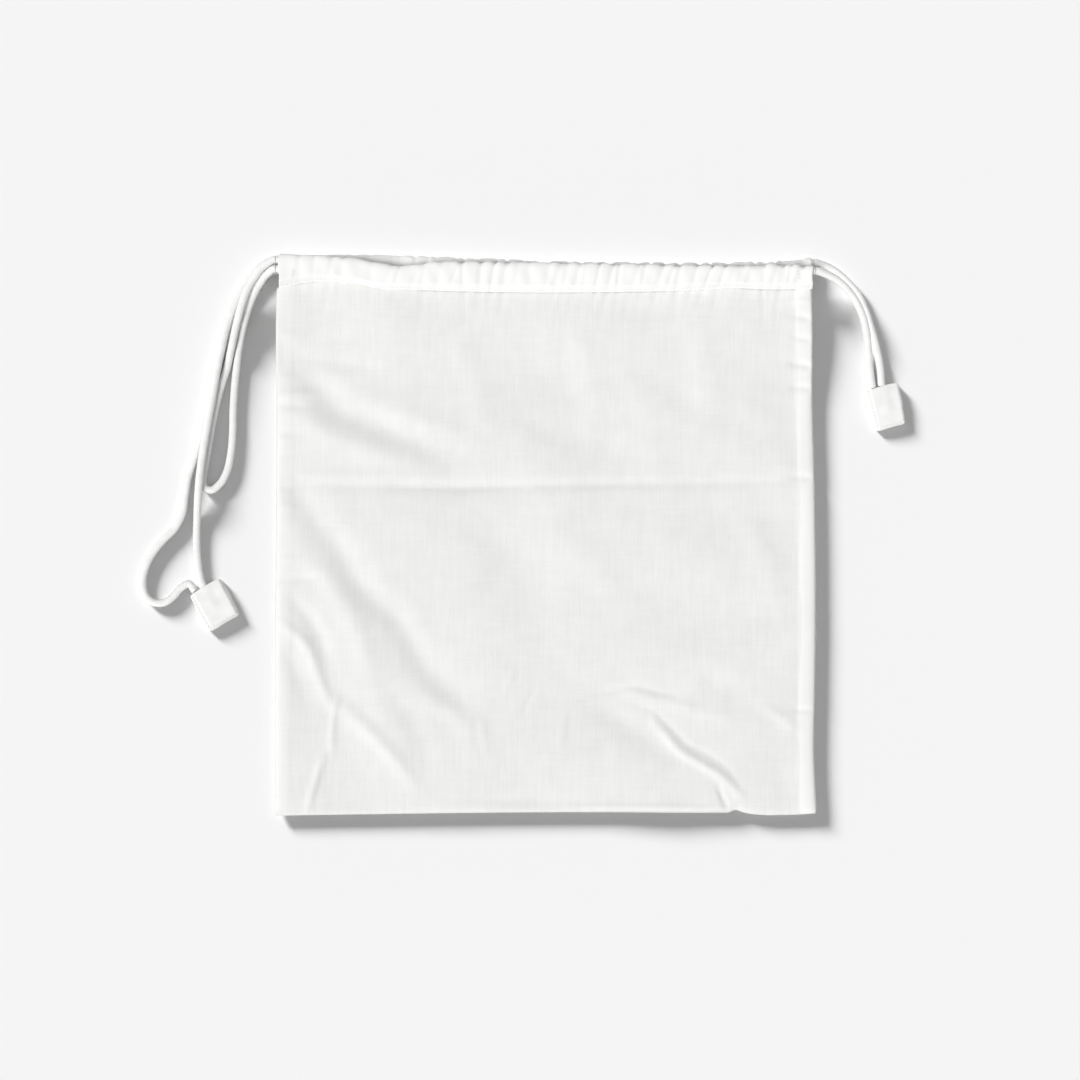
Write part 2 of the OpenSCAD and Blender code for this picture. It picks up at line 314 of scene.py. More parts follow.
# ---------------------------------------------------------------- cords
# Routes of the free stretches, the same points as in the CAD source.
LOOP_ROUTE = [
    (-173.3, 177, 13.8), (-178, 175, 13.6), (-183, 171, 13.2), (-187.5, 165, 12.6), (-191, 159.5, 12),
    (-194.5, 151, 11.6), (-197, 143, 10.8), (-199.3, 135, 8.6), (-201.2, 127, 7.6), (-203.6, 117, 5.4),
    (-206.2, 107, 2.6), (-209.4, 97, 2.6), (-212.8, 84, 2.6), (-215.6, 71, 2.6), (-217.8, 58, 2.6),
    (-219.8, 47, 2.6), (-221, 40, 2.6), (-221.6, 34.5, 2.6), (-220.2, 30.5, 2.6), (-216, 29.2, 2.6),
    (-211, 32.6, 2.6), (-206.5, 40, 2.6), (-203.6, 52, 2.6), (-202.3, 66, 2.6), (-202, 80, 2.6),
    (-201, 96, 2.6), (-199.5, 110, 2.6), (-197.8, 123, 2.6), (-195.5, 134, 4), (-192.5, 144, 5.6),
    (-188.8, 153.5, 7.4), (-184, 161.8, 9.4), (-178.5, 168.2, 11.8), (-173.3, 171, 13.6),
]
UPPER_ROUTE = [
    (-173.3, 177.5, 3.4), (-179, 176.6, 3), (-185, 172.5, 2.8), (-190, 166.8, 2.8), (-194, 161, 3.2),
    (-198.2, 153, 5.6), (-201.7, 144.5, 7.6), (-205, 136, 7.9), (-208, 124, 8), (-210.6, 112, 8),
    (-213, 99, 8), (-215.4, 85, 8), (-217.8, 72, 8), (-220, 59, 8), (-222, 46, 8), (-223.4, 34, 7.8),
    (-224.4, 23, 6), (-225.2, 11, 3.4), (-225.6, -2, 2.6), (-225, -15, 2.6), (-223.4, -26, 2.8),
    (-221.3, -33.4, 3.2),
]
LOWER_ROUTE = [
    (-173.3, 171, 3.2), (-179, 169, 2.8), (-185, 164.5, 2.6), (-189.5, 158.5, 2.6), (-193.5, 151, 2.6),
    (-198.4, 142, 2.6), (-203.4, 132, 2.6), (-208, 121, 2.6), (-211.8, 109, 2.6), (-215.2, 96, 2.6),
    (-218.6, 84, 2.6), (-221.6, 72, 2.6), (-224, 59.5, 2.6), (-226.8, 50, 2.6), (-230.8, 38, 2.6),
    (-232.8, 26, 2.6), (-235, 13, 2.6), (-240, 4, 2.6), (-247, -3, 2.6), (-253.5, -11, 2.6),
    (-258.6, -21, 2.6), (-260.4, -31, 2.6), (-258.5, -39, 2.6), (-253, -43.6, 2.6), (-246.5, -43.6, 2.6),
    (-240.5, -39.5, 2.6), (-235.5, -34, 2.6), (-230.6, -31.4, 2.8), (-226.7, -36.2, 3.2),
]
OUTER_ROUTE = [
    (173.3, 176, 3.2), (179, 174.6, 2.8), (187, 170.5, 2.6), (195, 163.5, 2.6), (201.5, 156, 2.6),
    (206, 146.5, 2.6), (210, 134.5, 2.6), (213.4, 122, 2.6), (215.9, 109, 2.8), (217, 96.3, 3.2),
]
INNER_ROUTE = [
    (173.3, 169.5, 14.1), (179, 168, 13), (187, 164.3, 10.6), (194, 158.6, 8.4), (199.8, 151, 7),
    (204, 142, 7), (206.8, 131, 6.8), (208.3, 118, 4.4), (209.6, 106, 2.8), (211.1, 95, 3.2),
]
# Hidden stretches inside the channels, which sag with the cloth
LEFT_RUN = [
    (-173, 171, 3.2), (-166, 169, 3.2), (-150, 168, 2.9), (0, 166, 2.9), (140, 164.8, 2.9), (150, 165.8, 3.1),
    (153, 166.8, 4.4), (155, 167.9, 6.5), (155.6, 168.8, 8.7), (155, 169.5, 10.9), (152, 170.3, 12.8),
    (147, 170.4, 13.6), (100, 169, 13.6), (0, 169.6, 13.6), (-92, 167.6, 13.6), (-120, 171, 13.6),
    (-150, 175, 13.8), (-156, 177.3, 12.8), (-161, 178, 9), (-166, 178, 5.2), (-173, 177.5, 3.4),
]
RIGHT_FRONT_STILL = [(-149.7, 169, 13.8), (-120, 165.6, 13.6), (-92, 162.4, 13.6), (0, 163.8, 13.6),
                     (48, 163.4, 13.6)]
RIGHT_BACK_STILL = [(-149.7, 175, 2.9), (-60, 173, 2.9), (0, 172.2, 2.9), (48, 172, 2.9)]
RIGHT_FRONT_MOVING = [(50, 163.4, 13.6), (100, 163.2, 13.6), (145, 163.6, 13.6), (158, 164.8, 13.6),
                      (167, 168, 13.9), (173, 169.5, 14.1)]
RIGHT_BACK_MOVING = [(50, 172, 2.9), (100, 172, 2.9), (140, 172.6, 2.9), (160, 175, 3.1), (173, 176, 3.2)]
MOUTH_FRONT = [(-150, 169, 13.8), (-158, 167.5, 13.9), (-166, 168.5, 14), (-173, 171, 13.6)]
MOUTH_BACK = [(-150, 175, 2.9), (-156, 174.2, 5.2), (-161, 172.3, 8.7), (-166, 174.5, 12.2),
              (-173, 177, 13.8)]


def braid(path, radius, sides, step):
    """Rings of a round braided cord along a fine path: (points, faces). Strands cross in both directions."""
    count = len(path)
    along = np.gradient(path, axis=0)
    along /= np.linalg.norm(along, axis=1)[:, None]
    side = np.cross(along[0], (0, 0, 1.0))
    side /= np.linalg.norm(side)
    sides_at = np.empty_like(path)
    for i in range(count):
        side = side - along[i] * np.dot(side, along[i])
        side /= np.linalg.norm(side)
        sides_at[i] = side
    ups = np.cross(sides_at, along)
    turn = np.linspace(0, 2 * math.pi, sides, endpoint=False)[None, :]
    run = (np.arange(count) * step)[:, None]
    lay_pitch, strands = 8.5, 6
    twist = 2 * math.pi * run / lay_pitch * strands / 2
    relief = np.abs(np.sin((strands * turn + twist) / 2) * np.sin((strands * turn - twist) / 2))
    r = radius * (0.92 + 0.11 * relief)
    points = (
        path[:, None, :]
        + (r * np.cos(turn))[..., None] * sides_at[:, None, :]
        + (r * np.sin(turn))[..., None] * ups[:, None, :]
    ).reshape(-1, 3)
    faces = grid_faces(count, sides, wrap=True)
    points = np.vstack([points, path[:1], path[-1:]])
    first, last = count * sides, count * sides + 1
    faces += [(first, (j + 1) % sides, j) for j in range(sides)]
    base = (count - 1) * sides
    faces += [(last, base + j, base + (j + 1) % sides) for j in range(sides)]
    return points, faces


def cord_piece(name, routes, body, replaced, sides=36, step=0.55, square=(0, -1)):
    """One piece of braided cord along each route; returns it with the last route's fine path."""
    all_points, all_faces, total, path = [], [], 0, None
    for route in routes:
        path = smooth_path(route, step, square)
        points, faces = braid(path, cord_r, sides, step)
        all_points.append(points)
        all_faces += [tuple(k + total for k in face) for face in faces]
        total += len(points)
    piece = mesh_piece(name, np.vstack(all_points), all_faces, CORD)
    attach(piece, body)
    if replaced:
        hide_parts(*replaced)
    return piece, path


def free_cord(name, route, body, replaced, square=(0,)):
    piece, path = cord_piece(name, [route], body, [replaced], square=square)
    (smooth_path(route, 4.5, square) * MM).tolist()
    return piece


# ---------------------------------------------------------------- tabs
def tab_outline(at, turn):
    """Returns what turns a tab's own millimetres into the frame's."""
    c, s = math.cos(math.radians(turn)), math.sin(math.radians(turn))

    def place(p):
        x, y, z = p[..., 0], p[..., 1], p[..., 2]
        return np.stack([at[0] + c * x - s * y, at[1] + s * x + c * y, z], -1)

    return place


def tab_height(x, y, ends_x, width, length):
    """Height of a tab's upper face: level over its cord ends, lower at its closed end and its rim."""
    over = smoothstep(length / 2 - 24, length / 2 - 12, y)
    beside = 1 - 0.35 * smoothstep(3, 9, np.abs(x - (ends_x[0] + ends_x[1]) / 2))
    rim = np.minimum(width / 2 - np.abs(x), length / 2 + y)
    ripple = 0.16 * np.sin(0.42 * x + 0.9) * np.cos(0.5 * y + 0.4) + 0.06 * np.sin(0.9 * y - 0.3 * x)
    return 4.0 + 0.5 * smoothstep(0, 2.6, rim) + 1.7 * over * beside + ripple


def tab_piece(name, body, replaced, at, turn, ends_x, size):
    """A folded cloth tab: upper face, rolled side edges, under face, and the overlap of its fold."""
    width, length, taper = size
    cols, rows = 56, 60
    u = np.linspace(-1, 1, cols)
    v = np.linspace(-1, 1, rows)
    uu, vv = np.meshgrid(u, v)
    corner = 1 - 0.085 * np.abs(uu) ** 7 * np.abs(vv) ** 7
    half_w = width / 2 * (1 - taper * (1 - vv) / 2) * (1 + 0.018 * np.sin(5 * vv + 1) + 0.01 * np.sin(9 * vv))
    x = uu * half_w * corner
    y = vv * length / 2 * corner + 0.45 * np.sin(2.2 * uu + 0.6)
    edge = 1 - np.clip(np.maximum(np.abs(uu), -vv), 0, 1) ** 18
    top = tab_height(x, y, ends_x, width, length)
    step_edge = 0.45 * smoothstep(0.25, 0.75, (x + width / 2 - 3.4) / 1.0) * smoothstep(0, 3, width / 2 - x)
    z_top = 1.3 + (top + step_edge - 1.3) * edge ** 0.5
    z_low = 1.3 - 1.0 * edge ** 0.5
    upper = np.stack([x, y, z_top], -1).reshape(-1, 3)
    under = np.stack([x, y, z_low], -1).reshape(-1, 3)
    n = cols * rows
    faces = grid_faces(rows, cols) + [tuple(k + n for k in reversed(f)) for f in grid_faces(rows, cols)]
    ring = list(range(cols)) + [i * cols + cols - 1 for i in range(1, rows)]
    ring += [(rows - 1) * cols + j for j in range(cols - 2, -1, -1)]
    ring += [i * cols for i in range(rows - 2, 0, -1)]
    for a, b in zip(ring, ring[1:] + ring[:1]):
        faces.append((b, a, a + n, b + n))
    piece = mesh_piece(name, tab_outline(at, turn)(np.vstack([upper, under])), faces, TAB)
    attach(piece, body)
    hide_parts(replaced)
    return piece


# ---------------------------------------------------------------- stitches
def stitches(name, starts, ends, body, replaced, radius=0.24, sag=0.12):
    """Short threads from starts to ends that dip into the cloth at both ends."""
    rings, sides = 5, 6
    turn = np.linspace(0, 2 * math.pi, sides, endpoint=False)
    verts, faces = [], []
    for a, b in zip(np.asarray(starts, float), np.asarray(ends, float)):
        along = (b - a) / np.linalg.norm(b - a)
        side = np.cross(along, (0, 0, 1.0))
        up = np.cross(side, along)
        base = len(verts)
        for k in range(rings):
            t = k / (rings - 1)
            fat = radius * (0.35 + 0.65 * math.sin(math.pi * t) ** 0.5)
            centre = a + (b - a) * t + up * (-sag * (2 * t - 1) ** 2)
            for w in turn:
                verts.append(centre + fat * (math.cos(w) * side + math.sin(w) * up))
        faces += [tuple(base + k for k in f) for f in grid_faces(rings, sides, wrap=True)]
        faces.append(tuple(base + k for k in reversed(range(sides))))
        faces.append(tuple(base + (rings - 1) * sides + k for k in range(sides)))
    piece = mesh_piece(name, np.array(verts), faces, THREAD)
    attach(piece, body)
    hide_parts(replaced)
    return piece


def tab_stitches(name, body, replaced, at, turn, ends_x, size):
    """A lockstitched box round each tab's closed end and sides."""
    width, length, taper = size
    place = tab_outline(at, turn)
    pitch, dash = 2.3, 1.55
    rows = []
    for side in (-1, 1):
        for y in np.arange(-length / 2 + 2.4, length / 2 - 1.5, pitch):
            inset = width / 2 * (1 - taper * (1 - 2 * y / length) / 2) - 1.9
            rows.append(((side * inset, y), (side * inset, y + dash)))
    for x in np.arange(-width / 2 * (1 - taper) + 2.4, width / 2 * (1 - taper) - 2.6, pitch):
        rows.append(((x, -length / 2 + 2.0), (x + dash, -length / 2 + 2.0)))

    def on_face(x, y):
        """A point on the upper face, which is higher where the fold overlaps."""
        lift = 0.5 if x > -width / 2 + 4 else 0.1
        return x, y, float(tab_height(x, y, ends_x, width, length) + lift)

    starts = np.array([on_face(*start) for start, _ in rows])
    ends = np.array([on_face(*end) for _, end in rows])
    return stitches(name, place(starts), place(ends), body, replaced, radius=0.2)


def recolour(node, material):
    """Gives a piece that is seen as it comes from the frame its own material."""
    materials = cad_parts[node].data.materials
    materials.clear()
    materials.append(material)


# Each tab's centre, turn in degrees, its cord ends' places across it, and its width, length and taper.
LEFT_TAB = {"at": (-213.9, -45.3), "turn": 28, "ends_x": (-7, -1), "size": (24.2, 27.2, 0.02)}
RIGHT_TAB = {"at": (220, 82.6), "turn": 12.5, "ends_x": (-6, 0), "size": (23.2, 27.4, 0.11)}

left_tab = tab_piece("left_tab_cloth", "left_tail", "left_tab", **LEFT_TAB)
left_tab_thread = tab_stitches("left_tab_thread", "left_tail", "left_tab_stitching", **LEFT_TAB)
right_tab = tab_piece("right_tab_cloth", "right_tail", "right_tab", **RIGHT_TAB)
right_tab_thread = tab_stitches("right_tab_thread", "right_tail", "right_tab_stitching", **RIGHT_TAB)
for node in ("left_tab_cord_ends", "right_tab_cord_ends"):
    recolour(node, CORD)

loop = free_cord("right_cord_slack", LOOP_ROUTE, "left_tail", "right_cord_loop", square=(0, -1))
free_cord("left_cord_upper", UPPER_ROUTE, "left_tail", "left_cord_strand_upper")
free_cord("left_cord_lower", LOWER_ROUTE, "left_tail", "left_cord_strand_lower")
free_cord("right_cord_outer", OUTER_ROUTE, "right_tail", "right_cord_strand_outer")
inner = free_cord("right_cord_inner", INNER_ROUTE, "right_tail", "right_cord_strand_inner")
cord_piece("left_cord_inside", [LEFT_RUN], "bag", ["left_cord_run"], sides=24, step=1.0)
cord_piece("right_cord_inside", [RIGHT_FRONT_MOVING, RIGHT_BACK_MOVING], "right_cord", ["right_cord_run"],
           sides=24, step=1.0)
cord_piece("right_cord_farther_in", [RIGHT_FRONT_STILL, RIGHT_BACK_STILL], "bag", [], sides=24, step=1.0)
cord_piece("right_cord_at_mouth", [MOUTH_FRONT, MOUTH_BACK], "bag", ["right_cord_mouth"], sides=24, step=0.8)
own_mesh(loop)

# ---------------------------------------------------------------- the cloth's outline
# Each line is the few points its shape needs: (x, y) across the bag, or (y, x) up its sides.
HEM_LINE = [
    (-171.5, 158.7), (-160, 161.6), (-148, 163), (-124, 161.6), (-112, 158.9), (-88, 157.8), (-58, 156.9),
    (9, 156), (44, 156.4), (92, 157.4), (116, 158.8), (148, 158), (171.5, 158.4),
]
FRONT_EDGE = [
    (-171.5, 180.4), (-140, 179), (-120, 177.2), (-107, 174.6), (-92, 172.6), (-77, 174.8), (-47, 175.4),
    (9, 174.8), (80, 173.6), (127, 173), (150, 174.2), (171.5, 172.6),
]
BACK_EDGE = [
    (-171.5, 180.2), (-154, 180.7), (-111, 181), (-82, 180.2), (-40, 178.7), (9, 176.8), (60, 176.2),
    (110, 176), (140, 177), (171.5, 179),
]
LEFT_SIDE = [(-181, -175), (-68, -174.7), (22, -174), (87, -173.7), (152, -173), (160, -172.6)]
RIGHT_SIDE = [
    (-181, 174.8), (-132, 173), (-117, 173.3), (-74, 174), (48, 173), (87, 171.9), (130, 171.5), (160, 171),
]
BOTTOM_EDGE = [
    (-175, -181), (-110, -180), (-61, -179.3), (33, -178.7), (112, -179), (118, -178.9), (122, -177.4),
    (128, -179), (157, -180.5), (175, -179.4),
]


def follow(line, value):
    """Smooth interpolation along an outline."""
    keys, values = np.array(line, float).T
    slope = np.gradient(values, keys)
    i = np.clip(np.searchsorted(keys, value, side="right") - 1, 0, len(keys) - 2)
    h = keys[i + 1] - keys[i]
    t = np.clip((value - keys[i]) / h, 0, 1)
    return cubic(t, h, values[i], values[i + 1], slope[i], slope[i + 1])


# ---------------------------------------------------------------- puckers along the channels
def pucker_set(seed):
    """Where the hem's gathers fall: (place, width, depth, slant) of each, crowded near the right end."""
    rng = np.random.default_rng(seed)
    places, x = [], -168.0
    while x < 168:
        crowded = 120 < x < 160
        x += rng.uniform(3.6, 6) if crowded else rng.uniform(5.5, 10.5)
        strength = 0.45 + 0.55 * smoothstep(-110, -70, x) + 0.5 * crowded
        places.append((x, rng.uniform(1.2, 2.8), strength * rng.uniform(0.3, 1.1), rng.uniform(-0.05, 0.42)))
    return places


FRONT_PUCKERS = pucker_set(4)
BACK_PUCKERS = pucker_set(11)


def gathers(x, rise, puckers):
    """Depth of the gathers at x, rise millimetres above the stitch line."""
    depth = 0.0 * (x + rise)
    for place, width, deep, slant in puckers:
        depth = depth + deep * np.exp(-(((x - place - slant * rise) / width) ** 2))
    return depth


# ---------------------------------------------------------------- wrinkles of the front panel
# (points along it, height, width): ridges are positive, valleys negative.
WRINKLES = [
    ([(-168, 32), (-120, 32.4), (-89, 32), (-60, 31.5), (-30, 32), (60, 33), (168, 35)], -1.1, 3.2),
    ([(-100, 32), (-75, 31), (-45, 31.5), (-25, 32)], -0.5, 2.4),
    ([(-166, 38), (-120, 38), (-68, 38)], 0.5, 4),
    ([(-130, 31), (-60, 30), (0, 31)], -1.0, 6),
    ([(-165, 114), (-150, 98), (-134, 82), (-110, 71), (-87, 62), (-62, 52)], -2.5, 10),
    ([(-165, 82), (-142, 67), (-120, 58), (-78, 46)], 1.5, 8),
    ([(-168, 118), (-140, 112), (-110, 108)], -0.8, 5),
    ([(-140, 103), (-112, 86), (-80, 73), (-50, 61)], 0.9, 8),
    ([(-166, 36), (-150, 10), (-133, -10), (-118, -34), (-94, -57), (-78, -84), (-54, -105)], -2.4, 9),
    ([(-158, -14), (-143, -26), (-129, -47), (-118, -69), (-111, -95)], 1.5, 8),
    ([(-86, -95), (-72, -107), (-60, -115), (-50, -126), (-48, -140)], 1.0, 6.5),
    ([(-173, -29.5), (-158, -28), (-145, -27.7)], -0.9, 2.2),
    ([(-170, -57), (-156, -69), (-145, -95), (-138.5, -110)], 1.6, 3.6),
    ([(-163, -42), (-150, -58), (-138, -86)], -1.4, 5),
    ([(-168, -72), (-160, -90), (-155, -105)], -1.1, 6),
    ([(-134.5, -106), (-137, -118), (-138, -130), (-137.5, -142)], 1.1, 2),
    ([(-143, -143), (-147, -154), (-150, -164), (-154, -178)], 1.5, 2.3),
    ([(-133, -109), (-111, -129.5), (-95, -147), (-85, -160)], 1.5, 5),
    ([(-104, -96), (-84, -124), (-74, -152)], -0.9, 7),
    ([(21, -107), (34, -102), (46, -100.4), (56, -97.5), (71, -101), (83, -103.5)], -0.8, 1.9),
    ([(52, -101.5), (77, -107.5), (96, -112), (114, -116)], 0.9, 4.2),
    ([(56, -108.5), (69, -113.5), (81, -124.5), (91, -134.5), (106, -142), (119.5, -153),
      (124, -160)], -0.6, 1.6),
    ([(70, -121), (76, -127), (86, -138.5), (100, -147), (112, -154.5), (125, -167)], 2.0, 2.8),
    ([(28, -108), (46, -118), (60, -128), (80, -142)], -1.0, 8),
    ([(100, -92), (112, -98), (128, -106)], -1.2, 8),
    ([(111, -162), (114, -169), (118, -178)], -1.7, 1.5),
    ([(14, -175.5), (60, -175.8), (112, -176.5)], 1.5, 2.2),
    ([(-60, -172), (-20, -171), (20, -172)], -0.7, 4),
    ([(12.5, -115), (11, -125), (10.5, -135)], 0.6, 1.8),
    ([(-8, -101), (-14, -112)], -0.7, 1.5),
    ([(-20.5, -87), (-25.5, -98)], 0.6, 2),
    ([(-42, -118), (-38, -140)], 0.6, 2.6),
    ([(99, -86), (128, -72), (163, -55)], 1.3, 9),
    ([(140, -110), (150, -116), (161, -124)], 0.7, 3.5),
    ([(176, 108), (158, 111)], -1.6, 1.8),
    ([(176, 126), (160, 127)], -1.3, 1.8),
    ([(176, 139), (158, 141)], -1.4, 1.8),
    ([(176, 94), (158, 96)], -1.2, 1.8),
    ([(176, 37), (158, 38)], -1.2, 1.8),
    ([(175, 157), (157, 156)], 1.1, 1.7),
    ([(175, 151.5), (157, 151)], 1.1, 1.7),
    ([(174, -113), (159, -112.5)], -0.9, 1.8),
    ([(-174, 131), (-163, 129)], 0.5, 2),
    ([(-174, 117), (-161, 119)], 0.55, 2.2),
    ([(-174, 103), (-164, 101)], 0.45, 2),
    ([(-174, 90), (-148, 92)], 0.8, 2.6),
    ([(-174, 84), (-156, 83)], -0.9, 2.2),
    ([(-174, 66), (-160, 66)], -0.7, 2.2),
    ([(-174, 20), (-163, 18)], 0.5, 2),
    ([(-174, 31), (-163, 30)], -0.5, 1.6),
    ([(-174, -16), (-162, -15)], 0.5, 2),
    ([(20, 130), (30, 96), (28, 62)], 0.9, 9),
    ([(95, 140), (104, 100), (98, 60)], 1.0, 10),
    ([(-60, 128), (-44, 100), (-40, 70)], 0.8, 9),
    ([(-20, 10), (30, -20), (60, -60)], 0.8, 12),
    ([(120, 20), (140, -10), (150, -40)], 0.9, 9),
    ([(60, 110), (96, 84), (140, 66)], -0.9, 10),
    ([(-20, 80), (10, 64), (50, 54)], -0.8, 9),
]


def wrinkle_height(x, y):
    """Height of all the wrinkles, each of which fades towards its ends."""
    total = np.zeros_like(x)
    for points, height, width in WRINKLES:
        path = smooth_path([(px, py, 0) for px, py in points], 1.5)[:, :2]
        low, high = path.min(axis=0) - 3 * width, path.max(axis=0) + 3 * width
        near = (x > low[0]) & (x < high[0]) & (y > low[1]) & (y < high[1])
        xs, ys = x[near], y[near]
        nearest, along = np.full(xs.shape, 1e9), np.zeros_like(xs)
        for k, (px, py) in enumerate(path):
            gap = (xs - px) ** 2 + (ys - py) ** 2
            closer = gap < nearest
            nearest[closer] = gap[closer]
            along[closer] = k / (len(path) - 1)
        fade = 0.25 + 0.75 * np.sin(math.pi * np.clip(along, 0.02, 0.98)) ** 0.6
        total[near] += wrinkle_gain * height * fade * np.exp(-nearest / width**2)
    return total


def undulation(x, y):
    """Slow waves and faint crumples of slack cotton."""
    slant = (0.8 * x + y) / 17 + 1.3 * np.sin((x - y) / 47)
    slanting = 0.95 * np.sin(slant) * np.cos((x - 0.6 * y) / 52 + 0.7)
    broad = 0.7 * np.sin(x / 31 + 1.1 * np.sin(y / 41)) * np.cos(y / 34 + 0.7)
    fine = 0.1 * np.sin(x / 7.3 + 1.7 * np.sin(y / 15)) * np.sin(y / 8.9 + 1.3 * np.sin(x / 19))
    return slanting + broad + fine


def seam_height(x, y):
    """Height of the side seams: the left one lies flatter, and both climb to the channels."""
    low = np.where(x < 0, 3.0, 5.2)
    return low + (10.4 - low) * smoothstep(70, 158, y)


def inside_edges(x, y):
    """Distance in from the nearer side seam, and up from the bottom fold."""
    side = np.minimum(x - follow(LEFT_SIDE, y), follow(RIGHT_SIDE, y) - x)
    return np.clip(side, 0, None), np.clip(y - follow(BOTTOM_EDGE, x), 0, None)


def front_height(x, y):
    """Height of the front panel: body, wrinkles, gathers below the hem, seam allowances and edges."""
    side, up = inside_edges(x, y)
    hem = follow(HEM_LINE, x)
    below = np.clip(hem - y, 0, None)
    body = 5.4 + 1.7 * smoothstep(-168, -90, x)
    body = body + (10.8 - body) * smoothstep(95, 158, y + (158 - hem) * smoothstep(100, 158, y))
    body = body + wrinkle_height(x, y) + undulation(x, y) * smoothstep(0, 25, side)
    body -= gather_depth * gathers(x, -below, FRONT_PUCKERS) * np.exp(-below / 11)
    body += np.where(x < 0, 0.3, 0.5) * (1 - smoothstep(9.3, 10.8, side))
    edge = 1 - np.exp(-side / 1.7)
    seam = seam_height(x, y)
    height = seam + (body - seam) * edge
    fold = 1 - np.exp(-up / 2.0)
    return fold_z + (height - fold_z) * fold


def back_height(x, y):
    """Height of the back panel: flat on the ground, and up to the seams and the bottom fold."""
    side, up = inside_edges(x, y)
    seam = seam_height(x, y)
    wave = 0.12 + 0.12 * np.sin(x / 33 + y / 47) ** 2
    height = 0.3 + wave + (seam - 0.4) * np.exp(-side / 2.2)
    return height + (fold_z - 0.4 - height) * np.exp(-up / 1.8)


def cloth_grid(x_step, y_step):
    """A grid that fills the bag's outline up to just past the hem, closer at its edges."""
    cols, rows = int(346 / x_step), int(338 / y_step)
    u = np.linspace(0, 1, cols)
    v = np.linspace(0, 1, rows)
    u = u - 0.020 * np.sin(2 * math.pi * u)
    v = v - 0.010 * np.sin(2 * math.pi * v)
    uu, vv = np.meshgrid(u, v)
    x = -172 + 344 * uu
    for _ in range(3):
        low, high = follow(BOTTOM_EDGE, x), follow(HEM_LINE, x) + 0.4
        y = low + (high - low) * vv
        left, right = follow(LEFT_SIDE, y), follow(RIGHT_SIDE, y)
        x = left + (right - left) * uu
    return x, y, rows, cols


def add_cloth():
    """The front and back panels."""
    x, y, rows, cols = cloth_grid(1.62, 1.62)
    points = np.stack([x, y, front_height(x, y)], -1).reshape(-1, 3)
    front = mesh_piece("front_panel_cloth", points, grid_faces(rows, cols), CLOTH)
    side = inside_edges(x, y)[0]
    over_allowance = 1 - smoothstep(9.5, 10.6, side + 0.4 * np.sin(y / 13))
    mark_layers(front, np.where(x < 0, 0.25, 0.75) * over_allowance)
    thicken(front, cloth_t)
    x, y, rows, cols = cloth_grid(2.4, 3.2)
    points = np.stack([x, y, back_height(x, y)], -1).reshape(-1, 3)
    faces = [tuple(reversed(face)) for face in grid_faces(rows, cols)]
    back = mesh_piece("back_panel_cloth", points, faces, CLOTH)
    thicken(back, cloth_t * 0.9)
    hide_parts("front_panel")
    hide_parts("back_panel", "bottom_fold")
    for piece in (front, back):
        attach(piece, "bag")
    return front, back


def add_allowances():
    """The seam allowances: two layers of cloth turned in along each side seam."""
    for side, line, node in ((-1, LEFT_SIDE, "left_side_seam"), (1, RIGHT_SIDE, "right_side_seam")):
        y = np.linspace(-177, 155, 150)
        u = np.linspace(0, 1, 9)
        yy, uu = np.meshgrid(y, u, indexing="ij")
        inner = 10 + 0.4 * np.sin(yy / 9)
        x = follow(line, yy) - side * (0.8 + (inner - 0.8) * uu)
        z = 1.3 + (seam_height(x, yy) - 1.5) * (1 - uu) ** 2 * 0.9 + 0.25 * np.sin(yy / 6.5) * uu
        points = np.stack([x, yy, z], -1).reshape(-1, 3)
        piece = mesh_piece(node + "_allowance", points, grid_faces(len(y), len(u)), CLOTH)
        thicken(piece, 0.8)
        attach(piece, "bag")
        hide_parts(node)


# ---------------------------------------------------------------- channels
def sleeve_half(v):
    """Half the thickness of a channel, from its stitching (v = 0) to its mouth edge (v = 1)."""
    return (0.45 + 2.75 * smoothstep(0, plump_share, v)) * np.sqrt(np.clip(1 - v**9, 0, 1))


def sleeve_middle(base_z, v):
    """Height of a channel's middle: low at its stitching, higher where the cords fill it."""
    return base_z + 0.6 + 2.65 * smoothstep(0, plump_share, v)


def sleeve(name, edge_line, base_z, puckers, node):
    """A cord channel: the hem turned over two cords, flat at its stitching and open at both ends."""
    rings, sides = 460, 80
    x = np.linspace(-channel_x - 0.2, channel_x + 0.2, rings)[:, None]
    a = np.linspace(0, 2 * math.pi, sides, endpoint=False)[None, :]
    v = (1 - np.cos(a)) / 2
    low = follow(HEM_LINE, x)
    rise = (follow(edge_line, x) - low) * v
    plump = smoothstep(0, plump_share, v)
    outside = np.where(a <= math.pi, 1.0, 0.0)
    gather = gathers(x, rise, puckers) * (0.35 + 0.65 * np.sin(math.pi * np.clip(v, 0.02, 1)) ** 0.5)
    mouth = smoothstep(6, 0, channel_x - np.abs(x))
    z = sleeve_middle(base_z, v) + (2 * outside - 1) * sleeve_half(v)
    z = z - outside * gather_depth * np.minimum(gather, deepest_gather)
    z = z + outside * 0.14 * np.sin(x / 3.1 + 2 * np.sin(x / 11) + 0.3 * rise) * plump
    z = z + np.where(outside > 0, 0.35, -0.1) * mouth * plump
    y = low + rise - 1.35 * gathers(x, rise, puckers) * smoothstep(0.72, 1, v)
    x = x + 0 * y + 0.4 * np.sin(y / 2.7) * mouth * np.sign(x)
    points = np.stack([x, y, z], -1).reshape(-1, 3)
    piece = mesh_piece(name, points, grid_faces(rings, sides, wrap=True), CLOTH)
    mark_layers(piece, np.ones(rings * sides))
    thicken(piece, 0.4)
    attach(piece, "bag")
    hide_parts(node)
    return piece


